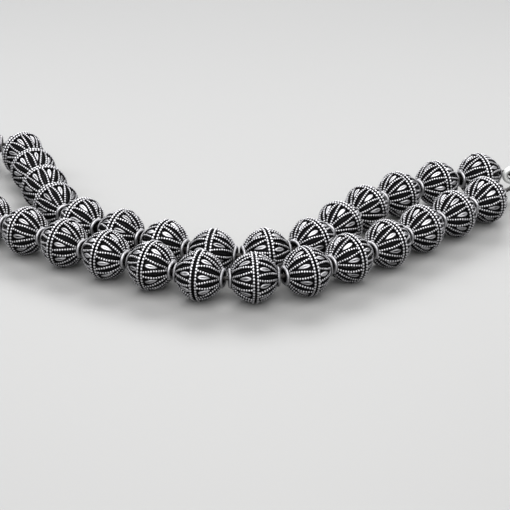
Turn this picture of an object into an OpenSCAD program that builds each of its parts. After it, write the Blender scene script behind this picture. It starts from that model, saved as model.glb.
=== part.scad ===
// Prayer beads: a closed string of openwork silver beads lying on a table.
// Every bead is a hollow shell with a smooth collar round each end of its hole.
// Millimetres, +Z up, beads resting on z = 0, the nearest beads towards -Y.

/* [Bead] */
// Diameter over the two beaded rims at the bead's middle
bead_d = 8.1; // [8:0.05:8.1]
// Length along the thread, over the two collars
bead_len = 7.95; // [7.85:0.05:7.95]
// Thickness of the shell
wall = 0.7; // [0.5:0.05:0.9]
// Diameter of the hole for the thread
hole_d = 1.5; // [1.4:0.05:1.6]
// Outside diameter of the collar round the hole
collar_d = 3.2; // [3:0.05:3.3]
// Thickness of the collar's round section
collar_t = 0.6; // [0.5:0.05:0.7]
// Thickness of each rim at the middle
rim_t = 0.4; // [0.3:0.05:0.5]
// Distance between the two rims, centre to centre
rim_gap = 0.72; // [0.6:0.02:0.8]
// How far the rims stand proud of the shell
rim_up = 0.12; // [0.08:0.02:0.18]
// How far the collars stand proud of the shell's ends
collar_up = 0.15; // [0.1:0.05:0.3]

/* [Thread] */
// Thickness of the thread
thread_d = 0.8; // [0.6:0.05:0.9]

/* [Joining ring] */
// Outside diameter of the ring that closes the string
ring_d = 3.3; // [3:0.1:3.5]
// Diameter of the ring's hole
ring_hole_d = 1.2; // [1.1:0.05:1.4]

/* [Hidden] */
// How the string lies, a row for each stretch, walking round the loop from the right end of the near side.
// Between two rows the heading and the gap change evenly from bead to bead.
// BEAD: the bead that the row is about.
// HEADING: direction from that bead to the next, degrees from +X.
// GAP: bare thread between that bead's collar and the next one's, mm.
BEAD = 0;
HEADING = 1;
GAP = 2;
LAY = [
  // near side, from the right end to the left
  [ 1, -135, 0.50],
  [ 3, -135, 0.50],
  [ 5, -145, 0.45],
  [ 8, -205, 0.45],
  [14, -225, 0.35],
  // round the left end
  [15, -240, 1.00],
  [17, -325, 1.80],
  [18, -390, 1.60],
  // far side, from the left end to the right
  [19, -430, 0.50],
  [21, -430, 0.40],
  [23, -395, 0.45],
  [25, -385, 0.50],
  [28, -305, 0.50],
  [29, -305, 0.30],
  [32, -335, 0.70]
];
// The first bead's place
START = [48.1, 2];
// The joining ring's place and the way its hole faces, degrees from +X
RING_AT = [54.2, 13.6, 3.85];
RING_FACES = 95;

COUNT = 33;
bead_r = bead_d / 2;
$fn = 64;

function row(i) = [for (r = [0:len(LAY) - 2]) if (i + 1 >= LAY[r][BEAD] && i + 1 <= LAY[r + 1][BEAD]) r][0];
function lay(i, what) =
  let (a = LAY[row(i)], b = LAY[row(i) + 1])
  a[what] + (b[what] - a[what]) * (i + 1 - a[BEAD]) / (b[BEAD] - a[BEAD]);
function step(i) = (bead_len + lay(i, GAP)) * [cos(lay(i, HEADING)), sin(lay(i, HEADING))];
function at(i) = i == 0 ? START : at(i - 1) + step(i - 1);
PLACES = [for (i = [0:COUNT - 1]) at(i)];
// A bead rests on its two rims
function place(i) = [PLACES[i].x, PLACES[i].y, bead_r];
// A bead faces from its neighbour behind to its neighbour ahead
function ahead(i) = PLACES[min(i + 1, COUNT - 1)] - PLACES[max(i - 1, 0)];
function facing(i) = atan2(ahead(i).y, ahead(i).x);
function along(i) = [cos(facing(i)), sin(facing(i)), 0];

// The shell's two halves are caps of one sphere, drawn together a little, so that they meet in a soft edge
body_r = bead_r - rim_up;
body_pole = bead_len / 2 - collar_up;
cap_r = (body_pole + body_r * body_r / body_pole) / 2;
cap_in = cap_r - body_pole;
rim_r = bead_r - rim_t / 2;
collar_r = (collar_d - collar_t) / 2;

module lens(r) {
  intersection() {
    translate([0, 0, -cap_in]) sphere(r = r);
    translate([0, 0, cap_in]) sphere(r = r);
  }
}

module ring(r, t) {
  rotate_extrude() translate([r, 0]) circle(d = t, $fn = 32);
}

module bead() {
  color([0.62, 0.62, 0.64])
  difference() {
    union() {
      lens(cap_r);
      for (s = [-1, 1]) {
        translate([0, 0, s * rim_gap / 2]) ring(rim_r, rim_t);
        translate([0, 0, s * (bead_len - collar_t) / 2]) ring(collar_r, collar_t);
      }
    }
    lens(cap_r - wall);
    cylinder(d = hole_d, h = bead_len + 2, center = true);
  }
}

module strung(i) {
  translate(place(i)) rotate([0, 90, facing(i)]) bead();
}

// The thread's line: in and out of every bead, a bend where it is bare for longer, and round through the ring.
// It leaves a bead off the middle of the hole, towards the hole of the next bead.
reach = bead_len / 2;
slack = (hole_d - thread_d) / 2 - 0.05;
function mouth(i, s) = place(i) + s * reach * along(i);
function drift(i) = i < 0 || i > COUNT - 2 ? [0, 0, 0] :
  let (
    gap = mouth(i + 1, -1) - mouth(i, 1),
    way = unit(along(i) + along(i + 1)),
    off = gap - (gap * way) * way
  )
  off * min(0.5, slack / max(norm(off), 0.01));
function way_in(i) = mouth(i, -1) - drift(i - 1);
function way_out(i) = mouth(i, 1) + drift(i);
function bend(i) = (way_out(i) + way_in(i + 1)) / 2
  + (along(i) - along(i + 1)) * norm(way_out(i) - way_in(i + 1)) / 8;
ring_way = [cos(RING_FACES), sin(RING_FACES), 0];
first_mouth = mouth(0, -1);
last_mouth = mouth(COUNT - 1, 1);
function hermite(a, b, u, v, t) =
  let (k = 1.6 * norm(b - a))
  (2 * t * t * t - 3 * t * t + 1) * a + (t * t * t - 2 * t * t + t) * k * u
  + (3 * t * t - 2 * t * t * t) * b + (t * t * t - t * t) * k * v;
ROUTE = [
  for (i = [0:COUNT - 1]) each concat(
    [way_in(i), way_out(i)],
    i < COUNT - 1 && norm(mouth(i + 1, -1) - mouth(i, 1)) > 1 ? [bend(i)] : []
  ),
  for (t = [0.33, 0.67]) hermite(last_mouth, RING_AT, along(COUNT - 1), -ring_way, t),
  RING_AT,
  for (t = [0.25, 0.5, 0.75]) hermite(RING_AT, first_mouth, -ring_way, along(0), t)
];
RINGS = len(ROUTE);
SIDES = 8;
function unit(v) = v / norm(v);
function heading(k) = unit(unit(ROUTE[(k + 1) % RINGS] - ROUTE[k]) + unit(ROUTE[k] - ROUTE[(k + RINGS - 1) % RINGS]));
function rim_point(k, a) =
  let (t = heading(k), side = unit(cross(t, [0, 0, 1])), up = cross(side, t))
  ROUTE[k] + thread_d / 2 * (cos(a) * side + sin(a) * up);

module thread() {
  color([0.05, 0.04, 0.035])
  polyhedron(
    points = [for (k = [0:RINGS - 1], j = [0:SIDES - 1]) rim_point(k, 360 * j / SIDES)],
    faces = [
      for (k = [0:RINGS - 1], j = [0:SIDES - 1])
      let (a = k * SIDES, b = (k + 1) % RINGS * SIDES, n = (j + 1) % SIDES)
      each [[a + j, b + j, b + n], [a + j, b + n, a + n]]
    ]
  );
}

module joining_ring() {
  color([0.78, 0.78, 0.8])
  translate(RING_AT) rotate([0, 90, RING_FACES])
  ring((ring_d + ring_hole_d) / 4, (ring_d - ring_hole_d) / 2);
}

strung(0);  // bead_01
strung(1);  // bead_02
strung(2);  // bead_03
strung(3);  // bead_04
strung(4);  // bead_05
strung(5);  // bead_06
strung(6);  // bead_07
strung(7);  // bead_08
strung(8);  // bead_09
strung(9);  // bead_10
strung(10);  // bead_11
strung(11);  // bead_12
strung(12);  // bead_13
strung(13);  // bead_14
strung(14);  // bead_15
strung(15);  // bead_16
strung(16);  // bead_17
strung(17);  // bead_18
strung(18);  // bead_19
strung(19);  // bead_20
strung(20);  // bead_21
strung(21);  // bead_22
strung(22);  // bead_23
strung(23);  // bead_24
strung(24);  // bead_25
strung(25);  // bead_26
strung(26);  // bead_27
strung(27);  // bead_28
strung(28);  // bead_29
strung(29);  // bead_30
strung(30);  // bead_31
strung(31);  // bead_32
strung(32);  // bead_33
thread();
joining_ring();
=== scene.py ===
import math
import random

import bpy
import numpy as np
from mathutils import Matrix, Vector


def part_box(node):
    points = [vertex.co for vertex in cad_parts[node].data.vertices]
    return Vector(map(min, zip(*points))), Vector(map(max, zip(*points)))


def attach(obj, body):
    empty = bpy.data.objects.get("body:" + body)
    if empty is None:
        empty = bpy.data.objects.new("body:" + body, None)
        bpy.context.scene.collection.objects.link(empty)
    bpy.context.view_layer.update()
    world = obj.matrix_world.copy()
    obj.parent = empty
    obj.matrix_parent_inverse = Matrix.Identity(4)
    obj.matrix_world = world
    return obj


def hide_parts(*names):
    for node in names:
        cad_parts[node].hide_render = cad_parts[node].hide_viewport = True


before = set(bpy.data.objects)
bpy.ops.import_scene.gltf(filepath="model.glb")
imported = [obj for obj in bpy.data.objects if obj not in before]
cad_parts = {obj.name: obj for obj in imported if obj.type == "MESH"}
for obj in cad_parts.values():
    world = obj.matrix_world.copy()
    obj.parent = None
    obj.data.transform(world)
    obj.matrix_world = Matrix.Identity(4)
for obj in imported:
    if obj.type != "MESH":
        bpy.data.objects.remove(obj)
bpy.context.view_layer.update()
MM = 0.001

# ---------------------------------------------------------------- how the string lies
# SPIN is the spin of the pattern on each bead's leading and trailing half, in degrees.
# WIDE is the distance between the two rims in mm.
COUNT = 33
SPIN = {
    1: (23, 23), 2: (0, 10), 3: (23, 32), 4: (28, 18), 5: (43, 15), 6: (18, 35), 7: (0, 24), 8: (4, 44),
    9: (33, 3), 10: (37, 25), 11: (24, 0), 12: (24, 33), 13: (10, 0), 18: (44, 10), 19: (0, 9), 20: (16, 0),
    21: (10, 30), 22: (16, 5), 23: (38, 20), 24: (33, 18), 25: (12, 15), 26: (18, 35), 27: (38, 27), 28: (4, 13),
    29: (24, 44), 30: (9, 6), 31: (14, 21), 32: (6, 13), 33: (26, 5),
}
WIDE = {5: 0.74, 6: 0.68, 7: 0.64, 8: 0.80, 9: 0.70, 10: 0.70, 25: 0.74, 26: 0.80, 27: 0.66}
BEAD_LEN = 7.95
HOLE_D = 1.5
THREAD_D = 0.8
RING_AT = np.array([54.2, 13.6, 3.85])
RING_FACES = 95.0

centres = []
for i in range(COUNT):
    lo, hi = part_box("bead_%02d" % (i + 1))
    centres.append(np.array((lo + hi) / 2) / MM)
centres = np.array(centres)


def axis_of(i):
    a = centres[min(i + 1, COUNT - 1)] - centres[max(i - 1, 0)]
    return math.atan2(a[1], a[0]), 0.0


def basis(i):
    """The bead's own axes in the row frame: columns x, y and z, with z along the thread."""
    yaw, tip = axis_of(i)
    b = math.pi / 2 - tip
    ex = (math.cos(yaw) * math.cos(b), math.sin(yaw) * math.cos(b), -math.sin(b))
    ey = (-math.sin(yaw), math.cos(yaw), 0.0)
    ez = (math.cos(yaw) * math.sin(b), math.sin(yaw) * math.sin(b), math.cos(b))
    return np.array([ex, ey, ez]).T


# ---------------------------------------------------------------- mesh helpers
class Build:
    """Gathers vertices, quads and each vertex's darkening, from 0 (bright) to 1 (black): oxide in the hollows, and
    painted shade on the flanks of balls and bosses, in the collars and in creases.
    """

    def __init__(self):
        self.v, self.f, self.s, self.n = [], [], [], 0

    def grid(self, pts, painted_shade_and_blackening, wrap_u=False, wrap_v=False, flip=False):
        """pts (nu, nv, 3); soot (nu, nv)."""
        nu, nv = pts.shape[:2]
        iu = np.arange(nu if wrap_u else nu - 1)
        iv = np.arange(nv if wrap_v else nv - 1)
        U, V = np.meshgrid(iu, iv, indexing="ij")
        U2, V2 = (U + 1) % nu, (V + 1) % nv
        q = np.stack([U * nv + V, U2 * nv + V, U2 * nv + V2, U * nv + V2], -1).reshape(-1, 4)
        if flip:
            q = q[:, ::-1]
        self.v.append(pts.reshape(-1, 3))
        self.s.append(np.broadcast_to(painted_shade_and_blackening, (nu, nv)).reshape(-1))
        self.f.append(q + self.n)
        self.n += nu * nv

    def object(self, name, material, turn=None, move=None):
        v = np.concatenate(self.v)
        if turn is not None:
            v = v @ turn.T
        if move is not None:
            v = v + move
        f = np.concatenate(self.f).astype(np.int32)
        s = np.concatenate(self.s).astype(np.float32)
        me = bpy.data.meshes.new(name)
        me.vertices.add(len(v))
        me.vertices.foreach_set("co", (v * MM).astype(np.float32).ravel())
        me.loops.add(f.size)
        me.loops.foreach_set("vertex_index", f.ravel())
        me.polygons.add(len(f))
        me.polygons.foreach_set("loop_start", np.arange(0, f.size, 4, dtype=np.int32))
        me.polygons.foreach_set("use_smooth", np.ones(len(f), bool))
        me.update(calc_edges=True)
        me.validate()
        # one attribute for the blackened hollows and the painted shade alike
        a = me.attributes.new("painted_shade_and_blackening", "FLOAT", "POINT")
        a.data.foreach_set("value", np.clip(s, 0, 1))
        me.materials.append(material)
        o = bpy.data.objects.new(name, me)
        bpy.context.scene.collection.objects.link(o)
        return o


# ---------------------------------------------------------------- one openwork bead
EQ = 3.93          # the openwork's radius at the middle
POLE = 3.84        # and its reach along the thread
CAP = (POLE + EQ * EQ / POLE) / 2
CAP_IN = CAP - POLE
RIM_R, RIM_BALL = 3.84, 0.21
COLLAR_R, COLLAR_T = 1.30, 0.29
COLLAR_Z = BEAD_LEN / 2 - COLLAR_T
WIRE = 0.205
WIRE_BALLS, RIM_BALLS = 10, 48
DEEP = 0.58
REPEATS = 8
ARC_A = math.asin((0.57 + CAP_IN) / CAP)
ARC_B = math.acos(1.50 / CAP)
WIRE_ANGLES = np.radians([-116, -58, 0, 58, 116])
# painted shade round each wire: bright on top, darker down the flanks, black at the foot where it meets the
# blackened wall
WIRE_PAINTED_SHADE_AND_OXIDE = np.array([0.95, 0.30, 0.0, 0.30, 0.95])
RIM_ANGLES = np.radians([-124, -72, -24, 24, 72, 124])
# painted shade round each rim ball: bright on top, darker down the flanks, black at the foot in the blackened groove
RIM_PAINTED_SHADE_AND_OXIDE = np.array([0.95, 0.35, 0.0, 0.0, 0.35, 0.95])
BALL = np.array([0.0, 0.22, 0.5, 0.78])  # stations of one ball along its row
BALL_R = np.array([0.50, 0.86, 1.0, 0.86])
# painted shade along each row: a ball is bright at its top, darker on its flanks and dark in the necks, where there
# is also some oxide
BALL_PAINTED_SHADE_AND_OXIDE = np.array([0.86, 0.36, 0.0, 0.40])
BOSS_U = np.array([0, 0.02, 0.07, 0.14, 0.23, 0.34, 0.46, 0.59, 0.72, 0.84, 0.94, 1.0])
BOSS_W = np.radians([-90, -64, -42, -23, -8, 8, 23, 42, 64, 90])
# painted sheen across each boss: lightest a little off its middle, darker down the flanks as painted shade, black at
# its foot in the blackened hollow
BOSS_PAINTED_SHEEN_AND_OXIDE = np.array([1.0, 0.72, 0.38, 0.20, 0.60, 0.60, 0.20, 0.38, 0.72, 1.0])


def slot_half(s):
    """Half the distance between the two wires of a slot, mm, from the rim (0) to the collar (1)."""
    return np.interp(s, [0, 0.2, 0.45, 0.7, 1], [0.36, 0.50, 0.60, 0.55, 0.42])


def on_shell(lam, phi, depth, sgn):
    """A point on the half's cap, depth mm under the wires' crest, with its outward normal."""
    r = (CAP - depth) * np.cos(lam)
    z = (CAP - depth) * np.sin(lam) - CAP_IN
    p = np.stack([r * np.cos(phi), r * np.sin(phi), sgn * z], -1)
    n = np.stack([np.cos(lam) * np.cos(phi), np.cos(lam) * np.sin(phi), sgn * np.sin(lam) * np.ones_like(phi)], -1)
    return p, n


def along_path(lam, phi, depth, sgn):
    p, n = on_shell(lam, phi, depth, sgn)
    t = np.gradient(p, axis=0)
    t /= np.linalg.norm(t, axis=1)[:, None]
    side = np.cross(t, n)
    side /= np.linalg.norm(side, axis=1)[:, None]
    return p, n, side


def stations(balls):
    """Places along a row of balls, in balls, with the size and the darkening at each: painted shade on each ball's
    flanks and in the necks, partly oxide in the necks.
    """
    return (np.arange(balls)[:, None] + BALL[None]).ravel(), np.tile(BALL_R, balls), np.tile(BALL_PAINTED_SHADE_AND_OXIDE, balls)


def bead_mesh(i, material):
    rnd = random.Random(7100 + i)
    b = Build()
    lead, trail = SPIN.get(i + 1, (rnd.uniform(0, 45), rnd.uniform(0, 45)))
    wide = WIDE.get(i + 1, 0.72)
    for sgn, spin in ((1, lead), (-1, trail)):
        shear = math.radians(rnd.uniform(-1.5, 1.5))
        for k in range(REPEATS):
            mid = math.radians(spin) + 2 * math.pi * k / REPEATS + math.radians(rnd.uniform(-0.7, 0.7))
            open_up = rnd.uniform(0.95, 1.05)
            for side_of in (-1, 1):
                # a row of balls along the slot's edge
                st, size, painted_shade_and_tarnish = stations(WIRE_BALLS)
                st, size, painted_shade_and_tarnish = np.append(st, WIRE_BALLS), np.append(size, size[0]), np.append(painted_shade_and_tarnish, painted_shade_and_tarnish[0])
                s = st / WIRE_BALLS
                lam = ARC_A - 0.030 + s * (ARC_B - ARC_A + 0.060)
                wob = 0.012 * np.sin(s * rnd.uniform(5, 9) + rnd.uniform(0, 6))
                phi = mid + shear * s + side_of * (slot_half(s) * open_up + wob) / (CAP * np.cos(lam))
                p, n, side = along_path(lam, phi, WIRE - 0.005, sgn)
                size = WIRE * size * (1 + 0.05 * np.sin(np.floor(st) * 2.1 + k))
                ring = p[:, None] + size[:, None, None] * (
                    np.sin(WIRE_ANGLES)[None, :, None] * side[:, None] + np.cos(WIRE_ANGLES)[None, :, None] * n[:, None])
                # painted shade on the flanks and in the necks, oxide at the foot
                b.grid(ring, np.clip(WIRE_PAINTED_SHADE_AND_OXIDE[None] + painted_shade_and_tarnish[:, None], 0, 1), flip=sgn > 0)
                # the low wall that it stands on
                cs = np.linspace(0, 1, 9)
                lam = ARC_A - 0.030 + cs * (ARC_B - ARC_A + 0.060)
                phi = mid + shear * cs + side_of * (slot_half(cs) * open_up) / (CAP * np.cos(lam))
                p, n, side = along_path(lam, phi, WIRE, sgn)
                for w in (-1, 1):
                    top = p + w * 0.09 * side - 0.02 * n
                    low = p + w * 0.12 * side - (DEEP - WIRE + 0.02) * n
                    b.grid(np.stack([top, low], 1), np.array([[0.95, 1.0]]), flip=(w < 0) ^ (sgn > 0))
            # the twisted strand that lies deep in the slot
            twist = rnd.uniform(0, 3)
            worn = rnd.uniform(0.88, 0.98)
            st = np.arange(23)
            s = 0.07 + 0.86 * st / 22
            lam = ARC_A + s * (ARC_B - ARC_A)
            phi = mid + shear * s + 0.05 * np.sin(st * 2.4 + twist) / (CAP * np.cos(lam))
            p, n, side = along_path(lam, phi, 0.47, sgn)
            size = np.minimum(0.15, 0.5 * slot_half(s) - 0.06)
            tilt = 0.8 * np.sin(st * math.pi / 2 + twist)
            ang = np.radians([-100, -32, 32, 100])[None] + 0.0 * st[:, None]
            size = size[:, None] * (1 + 0.28 * np.sin(st[:, None] * math.pi / 1.5 + 1.3 * ang + twist))
            ring = p[:, None] + size[..., None] * (
                np.sin(ang + 0.3 * tilt[:, None])[..., None] * side[:, None] + np.cos(ang)[..., None] * n[:, None])
            # painted shade: darker in the creases of the twist, on the strand's blackened base
            painted_shade_and_blackening = worn + 0.18 * np.sin(st[:, None] * math.pi / 1.5 + 1.3 * ang + twist + 2.6)
            b.grid(ring, np.clip(painted_shade_and_blackening, 0, 1), flip=sgn > 0)
            # the teardrop between this slot and the next one
            cell = mid + math.pi / REPEATS
            long = 2.28 * rnd.uniform(0.96, 1.03)
            fat = 0.46 * rnd.uniform(0.95, 1.05)
            shape = np.where(BOSS_U < 0.38, np.clip(1 - ((0.38 - BOSS_U) / 0.38) ** 2, 0, 1) ** 0.62,
                             np.clip(1 - np.clip((BOSS_U - 0.38) / 0.62, 0, 1) ** 1.5, 0, 1))
            U, W = np.meshgrid(np.arange(len(BOSS_U)), BOSS_W, indexing="ij")
            lam = (ARC_A + (0.12 + BOSS_U * long) / CAP)[U]
            vein = np.clip(np.sin(np.pi * np.clip(BOSS_U * 1.15, 0, 1)), 0, 1)[U] * (np.abs(W) < 0.2)
            depth = 0.46 - 0.36 * np.sqrt(np.cos(W)) * (shape ** 0.3)[U] + 0.09 * vein
            phi = cell + shear * BOSS_U[U] * 0.6 + (fat * shape)[U] * np.sin(W) / (CAP * np.cos(lam))
            p, _ = on_shell(lam, phi, depth, sgn)
            # painted reflection down the vein: a dark line standing for dark surroundings mirrored between two
            # highlights; the edges and ends are black where the boss meets the blackened hollow
            painted_shade_and_blackening = np.where(np.abs(W) < 0.2, 0.20 + rnd.uniform(0.28, 0.60) * vein, BOSS_PAINTED_SHEEN_AND_OXIDE[None].repeat(len(BOSS_U), 0))
            painted_shade_and_blackening = painted_shade_and_blackening + rnd.uniform(-0.08, 0.16)
            painted_shade_and_blackening = np.clip(painted_shade_and_blackening + np.where(U == 0, 0.7, 0) + np.where(U == len(BOSS_U) - 1, 0.5, 0), 0, 1)
            b.grid(p, painted_shade_and_blackening, flip=sgn > 0)
        # the rim: a row of small balls
        st, size, painted_shade_and_tarnish = stations(RIM_BALLS)
        a = st / RIM_BALLS * 2 * math.pi + rnd.uniform(0, 1)
        size = RIM_BALL * size
        out = np.stack([np.cos(a), np.sin(a), 0 * a], -1)
        up = np.array([0, 0, 1.0])
        c = out * RIM_R + np.array([0, 0, sgn * wide / 2])
        ring = c[:, None] + size[:, None, None] * (
            np.cos(RIM_ANGLES)[None, :, None] * out[:, None] + np.sin(RIM_ANGLES)[None, :, None] * up[None, None])
        # painted shade on the flanks and in the necks, oxide at the foot
        b.grid(ring, np.clip(RIM_PAINTED_SHADE_AND_OXIDE[None] + painted_shade_and_tarnish[:, None], 0, 1), wrap_u=True, flip=False)
        # the band that the rim stands on
        a = np.arange(48) / 48 * 2 * math.pi
        out = np.stack([np.cos(a), np.sin(a), 0 * a], -1)
        for w in (-1, 1):
            z = sgn * wide / 2 + w * 0.15
            band = np.stack([out * (RIM_R - 0.05) + [0, 0, z], out * 3.30 + [0, 0, z]], 1)
            b.grid(band, np.array([[0.9, 1.0]]), wrap_u=True, flip=w > 0)
        # the collar, a smooth ring round the hole
        a = np.arange(32) / 32 * 2 * math.pi
        t = np.arange(12) / 12 * 2 * math.pi
        A, T = np.meshgrid(a, t, indexing="ij")
        rr = COLLAR_R + COLLAR_T * np.cos(T)
        ring = np.stack([rr * np.cos(A), rr * np.sin(A), sgn * (COLLAR_Z + COLLAR_T * np.sin(T))], -1)
        # painted shade: black on the faces that turn into the hole and towards the bead body, where shade falls; the
        # outer faces are dulled all round
        painted_shade_and_blackening = np.interp(np.degrees(T) % 360, [0, 50, 95, 140, 175, 300, 335, 360], [0.55, 0.32, 0.36, 0.62, 1.0, 1.0, 0.92, 0.55])
        b.grid(ring, painted_shade_and_blackening, wrap_u=True, wrap_v=True, flip=sgn < 0)
        # the bore, as far in as it shows
        a = np.arange(20) / 20 * 2 * math.pi
        ring = np.stack([np.stack([0.73 * np.cos(a), 0.73 * np.sin(a), 0 * a + sgn * z], -1) for z in (3.6, 2.2)], 1)
        b.grid(ring, np.array([[0.9, 1.0]]), wrap_u=True, flip=sgn > 0)
    # the dark shell under the openwork, from collar to collar
    prof = [(0.73, -(CAP - DEEP) * math.sin(math.acos(0.73 / (CAP - DEEP))) + CAP_IN)]
    for d in (70, 62, 54, 46, 38, 30, 22, 14, 8):
        prof.append(((CAP - DEEP) * math.cos(math.radians(d)), -((CAP - DEEP) * math.sin(math.radians(d)) - CAP_IN)))
    prof += [(r, -z) for r, z in reversed(prof)]
    prof = np.array(prof)
    a = np.arange(48) / 48 * 2 * math.pi
    shell = np.stack([np.stack([prof[:, 0] * math.cos(x), prof[:, 0] * math.sin(x), prof[:, 1]], -1) for x in a], 0)
    b.grid(shell, np.ones((1, 1)), wrap_u=True, flip=False)
    o = b.object("silver_bead_%02d" % (i + 1), material, basis(i), centres[i])
    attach(o, "root")
    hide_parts("bead_%02d" % (i + 1))
    return o


# ---------------------------------------------------------------- materials
def nodes_of(name):
    m = bpy.data.materials.new(name)
    m.use_nodes = True
    t = m.node_tree
    return m, t, t.nodes, t.links, t.nodes["Principled BSDF"]


def put(bsdf, **values):
    names = {"metal": "Metallic", "rough": "Roughness", "coat": "Coat Weight", "coat_rough": "Coat Roughness",
             "sheen": "Sheen Weight", "sheen_rough": "Sheen Roughness", "ior": "IOR", "spec": "Specular IOR Level"}
    for k, v in values.items():
        bsdf.inputs[names[k]].default_value = v


def mix_colour(nt, fac, a, b):
    n = nt.nodes.new("ShaderNodeMix")
    n.data_type = "RGBA"
    nt.links.new(fac, n.inputs[0])
    for sock, v in ((n.inputs[6], a), (n.inputs[7], b)):
        if isinstance(v, tuple):
            sock.default_value = v + (1,)
        else:
            nt.links.new(v, sock)
    return n.outputs[2]


def math_node(nt, op, *args, clamp=False):
    n = nt.nodes.new("ShaderNodeMath")
    n.operation = op
    n.use_clamp = clamp
    for i, a in enumerate(args):
        if isinstance(a, (int, float)):
            n.inputs[i].default_value = a
        else:
            nt.links.new(a, n.inputs[i])
    return n.outputs[0]


def remap(nt, value, a, b, c, d):
    n = nt.nodes.new("ShaderNodeMapRange")
    nt.links.new(value, n.inputs[0])
    for i, v in enumerate((a, b, c, d)):
        n.inputs[i + 1].default_value = v
    return n.outputs[0]


def noise(nt, scale, detail=3, rough=0.55):
    tc = nt.nodes.new("ShaderNodeTexCoord")
    n = nt.nodes.new("ShaderNodeTexNoise")
    n.inputs["Scale"].default_value = scale
    n.inputs["Detail"].default_value = detail
    n.inputs["Roughness"].default_value = rough
    nt.links.new(tc.outputs["Object"], n.inputs["Vector"])
    return n.outputs["Fac"]


def silver(name, bright, dark, smooth):
    """Silver whose hollows are blackened, with a little tarnish in patches and painted shade brought in from the
    mesh on the flanks of balls and bosses and in the collars.
    """
    m, nt, N, L, bsdf = nodes_of(name)
    at = N.new("ShaderNodeAttribute")
    at.attribute_name = "painted_shade_and_blackening"
    patch = noise(nt, 900, 4)
    fine = noise(nt, 6000, 3)
    # the darkening comes from the mesh: oxide in the hollows and painted shade on flanks, necks, boss middles and
    # collars; the noise adds patches of tarnish
    painted_shade_and_tarnish = math_node(nt, "ADD", at.outputs["Fac"], remap(nt, patch, 0.45, 0.85, 0.0, 0.22))
    painted_shade_and_tarnish = math_node(nt, "ADD", painted_shade_and_tarnish, remap(nt, fine, 0.35, 0.75, -0.05, 0.08), clamp=True)
    k = remap(nt, painted_shade_and_tarnish, 0.05, 0.80, 0.0, 1.0)
    L.new(mix_colour(nt, k, bright, dark), bsdf.inputs["Base Color"])
    L.new(remap(nt, painted_shade_and_tarnish, 0.0, 1.0, smooth, 0.62), bsdf.inputs["Roughness"])
    L.new(remap(nt, painted_shade_and_tarnish, 0.55, 1.0, 1.0, 0.35), bsdf.inputs["Metallic"])
    put(bsdf, spec=0.08)
    bump = N.new("ShaderNodeBump")
    bump.inputs["Strength"].default_value = 0.25
    bump.inputs["Distance"].default_value = 0.00003
    L.new(fine, bump.inputs["Height"])
    L.new(bump.outputs["Normal"], bsdf.inputs["Normal"])
    return m


def thread_material():
    m, nt, N, L, bsdf = nodes_of("thread_fibre")
    at = N.new("ShaderNodeAttribute")
    at.attribute_name = "painted_shade_and_blackening"
    n = noise(nt, 2500, 4)
    # painted shade from the mesh darkens the grooves between the plies; the noise is the fibre's own mottling
    k = math_node(nt, "ADD", remap(nt, n, 0.3, 0.7, 0.0, 0.6), math_node(nt, "MULTIPLY", at.outputs["Fac"], 0.6), clamp=True)
    L.new(mix_colour(nt, k, (0.024, 0.021, 0.020), (0.006, 0.005, 0.005)), bsdf.inputs["Base Color"])
    put(bsdf, rough=0.45, spec=0.3)
    bump = N.new("ShaderNodeBump")
    bump.inputs["Strength"].default_value = 0.5
    bump.inputs["Distance"].default_value = 0.00005
    L.new(noise(nt, 9000, 2), bump.inputs["Height"])
    L.new(bump.outputs["Normal"], bsdf.inputs["Normal"])
    return m


bead_mat = silver("oxidised_silver_painted_shade", (0.705, 0.70, 0.725), (0.005, 0.005, 0.0055), 0.36)
ring_mat = silver("matte_silver", (0.70, 0.71, 0.70), (0.03, 0.03, 0.03), 0.60)
thread_mat = thread_material()

# ---------------------------------------------------------------- the beads
for i in range(COUNT):
    bead_mesh(i, bead_mat)


# ---------------------------------------------------------------- the joining ring
def ring_mesh():
    b = Build()
    big, small = 1.125, 0.525
    a = np.arange(64) / 64 * 2 * math.pi
    t = np.arange(24) / 24 * 2 * math.pi
    A, T = np.meshgrid(a, t, indexing="ij")
    rr = big + small * np.cos(T)
    p = np.stack([rr * np.cos(A), rr * np.sin(A), small * np.sin(T)], -1)
    # darker on the inner face, towards the hole
    b.grid(p, np.clip((-np.cos(T) - 0.62) * 2.8, 0, 1), wrap_u=True, wrap_v=True)
    yaw = math.radians(RING_FACES)
    ez = np.array([math.cos(yaw), math.sin(yaw), 0])
    ey = np.array([-math.sin(yaw), math.cos(yaw), 0])
    ex = np.cross(ey, ez)
    o = b.object("silver_ring", ring_mat, np.array([ex, ey, ez]).T, RING_AT)
    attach(o, "root")
    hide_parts("joining_ring")


ring_mesh()


# ---------------------------------------------------------------- the thread
def unit(v):
    return v / np.linalg.norm(v)


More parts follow.
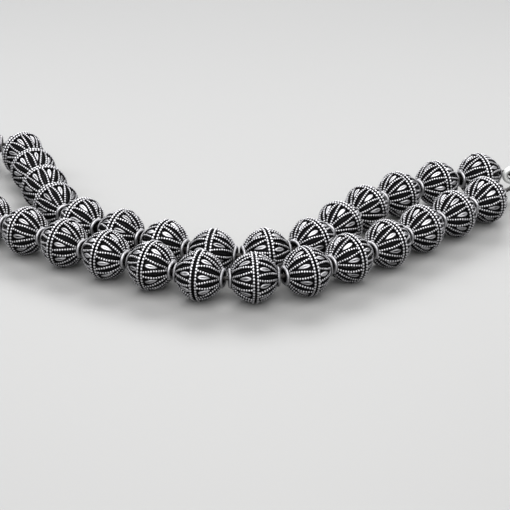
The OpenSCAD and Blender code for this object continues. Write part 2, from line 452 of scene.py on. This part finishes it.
def thread_route():
    """The part's line: in and out of every bead, off the hole's middle where the next bead is tilted."""
    way = [basis(i)[:, 2] for i in range(COUNT)]
    mouth = lambda i, s: centres[i] + s * BEAD_LEN / 2 * way[i]
    slack = (HOLE_D - THREAD_D) / 2 - 0.05

    def drift(i):
        if i < 0 or i > COUNT - 2:
            return np.zeros(3)
        gap = mouth(i + 1, -1) - mouth(i, 1)
        w = unit(way[i] + way[i + 1])
        off = gap - gap.dot(w) * w
        return off * min(0.5, slack / max(np.linalg.norm(off), 0.01))

    pts = []
    for i in range(COUNT):
        a, b = mouth(i, -1) - drift(i - 1), mouth(i, 1) + drift(i)
        pts += [a, b]
        if i < COUNT - 1:
            c = mouth(i + 1, -1) - drift(i)
            if np.linalg.norm(mouth(i + 1, -1) - mouth(i, 1)) > 1.0:
                pts.append((b + c) / 2 + (way[i] - way[i + 1]) * np.linalg.norm(b - c) / 8)
    ring_way = np.array([math.cos(math.radians(RING_FACES)), math.sin(math.radians(RING_FACES)), 0])

    def hermite(a, b, u, v, t):
        k = 1.6 * np.linalg.norm(b - a)
        return ((2 * t**3 - 3 * t**2 + 1) * a + (t**3 - 2 * t**2 + t) * k * u
                + (3 * t**2 - 2 * t**3) * b + (t**3 - t**2) * k * v)

    for t in (0.33, 0.67):
        pts.append(hermite(mouth(COUNT - 1, 1), RING_AT, way[-1], -ring_way, t))
    pts.append(RING_AT)
    for t in (0.25, 0.5, 0.75):
        pts.append(hermite(RING_AT, mouth(0, -1), -ring_way, way[0], t))
    return np.array(pts)


def thread_mesh():
    pts = thread_route()
    closed = np.vstack([pts, pts[:1]])
    seg = np.linalg.norm(np.diff(closed, axis=0), axis=1)
    at = np.concatenate([[0], np.cumsum(seg)])
    n = int(at[-1] / (0.22))
    s = np.arange(n) / n * at[-1]
    line = np.stack([np.interp(s, at, closed[:, k]) for k in range(3)], -1)
    for _ in range(3):
        line = (np.roll(line, 1, 0) + 2 * line + np.roll(line, -1, 0)) / 4
    t = np.roll(line, -1, 0) - np.roll(line, 1, 0)
    t /= np.linalg.norm(t, axis=1)[:, None]
    side = np.cross(t, [0, 0, 1.0])
    side /= np.linalg.norm(side, axis=1)[:, None]
    up = np.cross(side, t)
    sides = 15
    th = np.arange(sides) / sides * 2 * math.pi
    turns = round(at[-1] / 2.2)
    twist = 2 * math.pi * turns * np.arange(n) / n
    A = th[None] - twist[:, None]
    lobe = np.abs((A * 3 / (2 * math.pi) + 0.5) % 1 - 0.5) * 2 * math.pi / 3
    r = 0.385 * np.maximum(np.cos(lobe), 0.66)
    ring = line[:, None] + r[..., None] * (np.cos(th)[None, :, None] * side[:, None] + np.sin(th)[None, :, None] * up[:, None])
    b = Build()
    # painted shade: darker towards the grooves between the three plies
    b.grid(ring, np.clip(lobe * 1.2 - 0.2, 0, 1), wrap_u=True, wrap_v=True, flip=True)
    o = b.object("twisted_thread", thread_mat)
    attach(o, "root")
    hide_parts("thread")


thread_mesh()

# ---------------------------------------------------------------- floor, light and camera
floor_mat, nt, N, L, bsdf = nodes_of("pale_floor")
near = mix_colour(nt, noise(nt, 6, 2), (0.195, 0.195, 0.195), (0.204, 0.204, 0.201))
where = N.new("ShaderNodeTexCoord")
reach = N.new("ShaderNodeVectorMath")
reach.operation = "LENGTH"
L.new(where.outputs["Object"], reach.inputs[0])
# painted light: paler further out, where the lamps no longer reach, so the floor looks evenly lit
painted_floor_light = remap(nt, reach.outputs["Value"], 0.40, 1.10, 0.0, 1.0)
L.new(mix_colour(nt, painted_floor_light, near, (0.86, 0.86, 0.86)), bsdf.inputs["Base Color"])
put(bsdf, rough=0.55)
me = bpy.data.meshes.new("floor")
me.from_pydata([(-4, -4, 0), (4, -4, 0), (4, 4, 0), (-4, 4, 0)], [], [(0, 1, 2, 3)])
me.materials.append(floor_mat)
floor = bpy.data.objects.new("floor", me)
bpy.context.scene.collection.objects.link(floor)

world = bpy.data.worlds.new("studio")
bpy.context.scene.world = world
world.use_nodes = True
world.node_tree.nodes["Background"].inputs[0].default_value = (0.80, 0.82, 0.85, 1)
world.node_tree.nodes["Background"].inputs[1].default_value = 0.45


def area(name, at, look, size, power, tint=(1, 1, 1), size_y=None):
    d = bpy.data.lights.new(name, "AREA")
    d.shape = "RECTANGLE"
    d.size, d.size_y = size, size_y or size
    d.energy = power
    d.color = tint
    o = bpy.data.objects.new(name, d)
    bpy.context.scene.collection.objects.link(o)
    o.location = at
    o.rotation_mode = "QUATERNION"
    o.rotation_quaternion = (Vector(look) - Vector(at)).to_track_quat("-Z", "Y")
    o.visible_camera = False
    return o


area("key", (0.0, -0.10, 0.42), (0, 0, 0), 0.56, 3.05, (1.0, 0.99, 0.98), 0.40)
area("front", (0.0, -0.29, 0.20), (0, 0.015, 0), 0.40, 1.13, (1.0, 1.0, 1.0), 0.17)
area("back", (0.0, 0.34, 0.26), (0, 0.01, 0), 0.40, 1.9, (1.0, 1.0, 1.0), 0.14)
area("left", (-0.16, 0.05, 0.11), (-0.035, 0.005, 0), 0.07, 0.16, (0.98, 0.99, 1.0), 0.07)
area("right", (0.16, 0.05, 0.11), (0.035, 0.005, 0), 0.07, 0.12, (1.0, 1.0, 1.0), 0.07)

cam = bpy.data.cameras.new("camera")
cam.sensor_width = 36
cam.lens = 117.29
cam.clip_start, cam.clip_end = 0.01, 20
camera = bpy.data.objects.new("camera", cam)
bpy.context.scene.collection.objects.link(camera)
camera.location = (0.008884, -0.258496, 0.11553)
camera.rotation_euler = (math.radians(90 - 25.07), 0, 0)
bpy.context.scene.camera = camera
bpy.context.scene.view_settings.view_transform = "Standard"
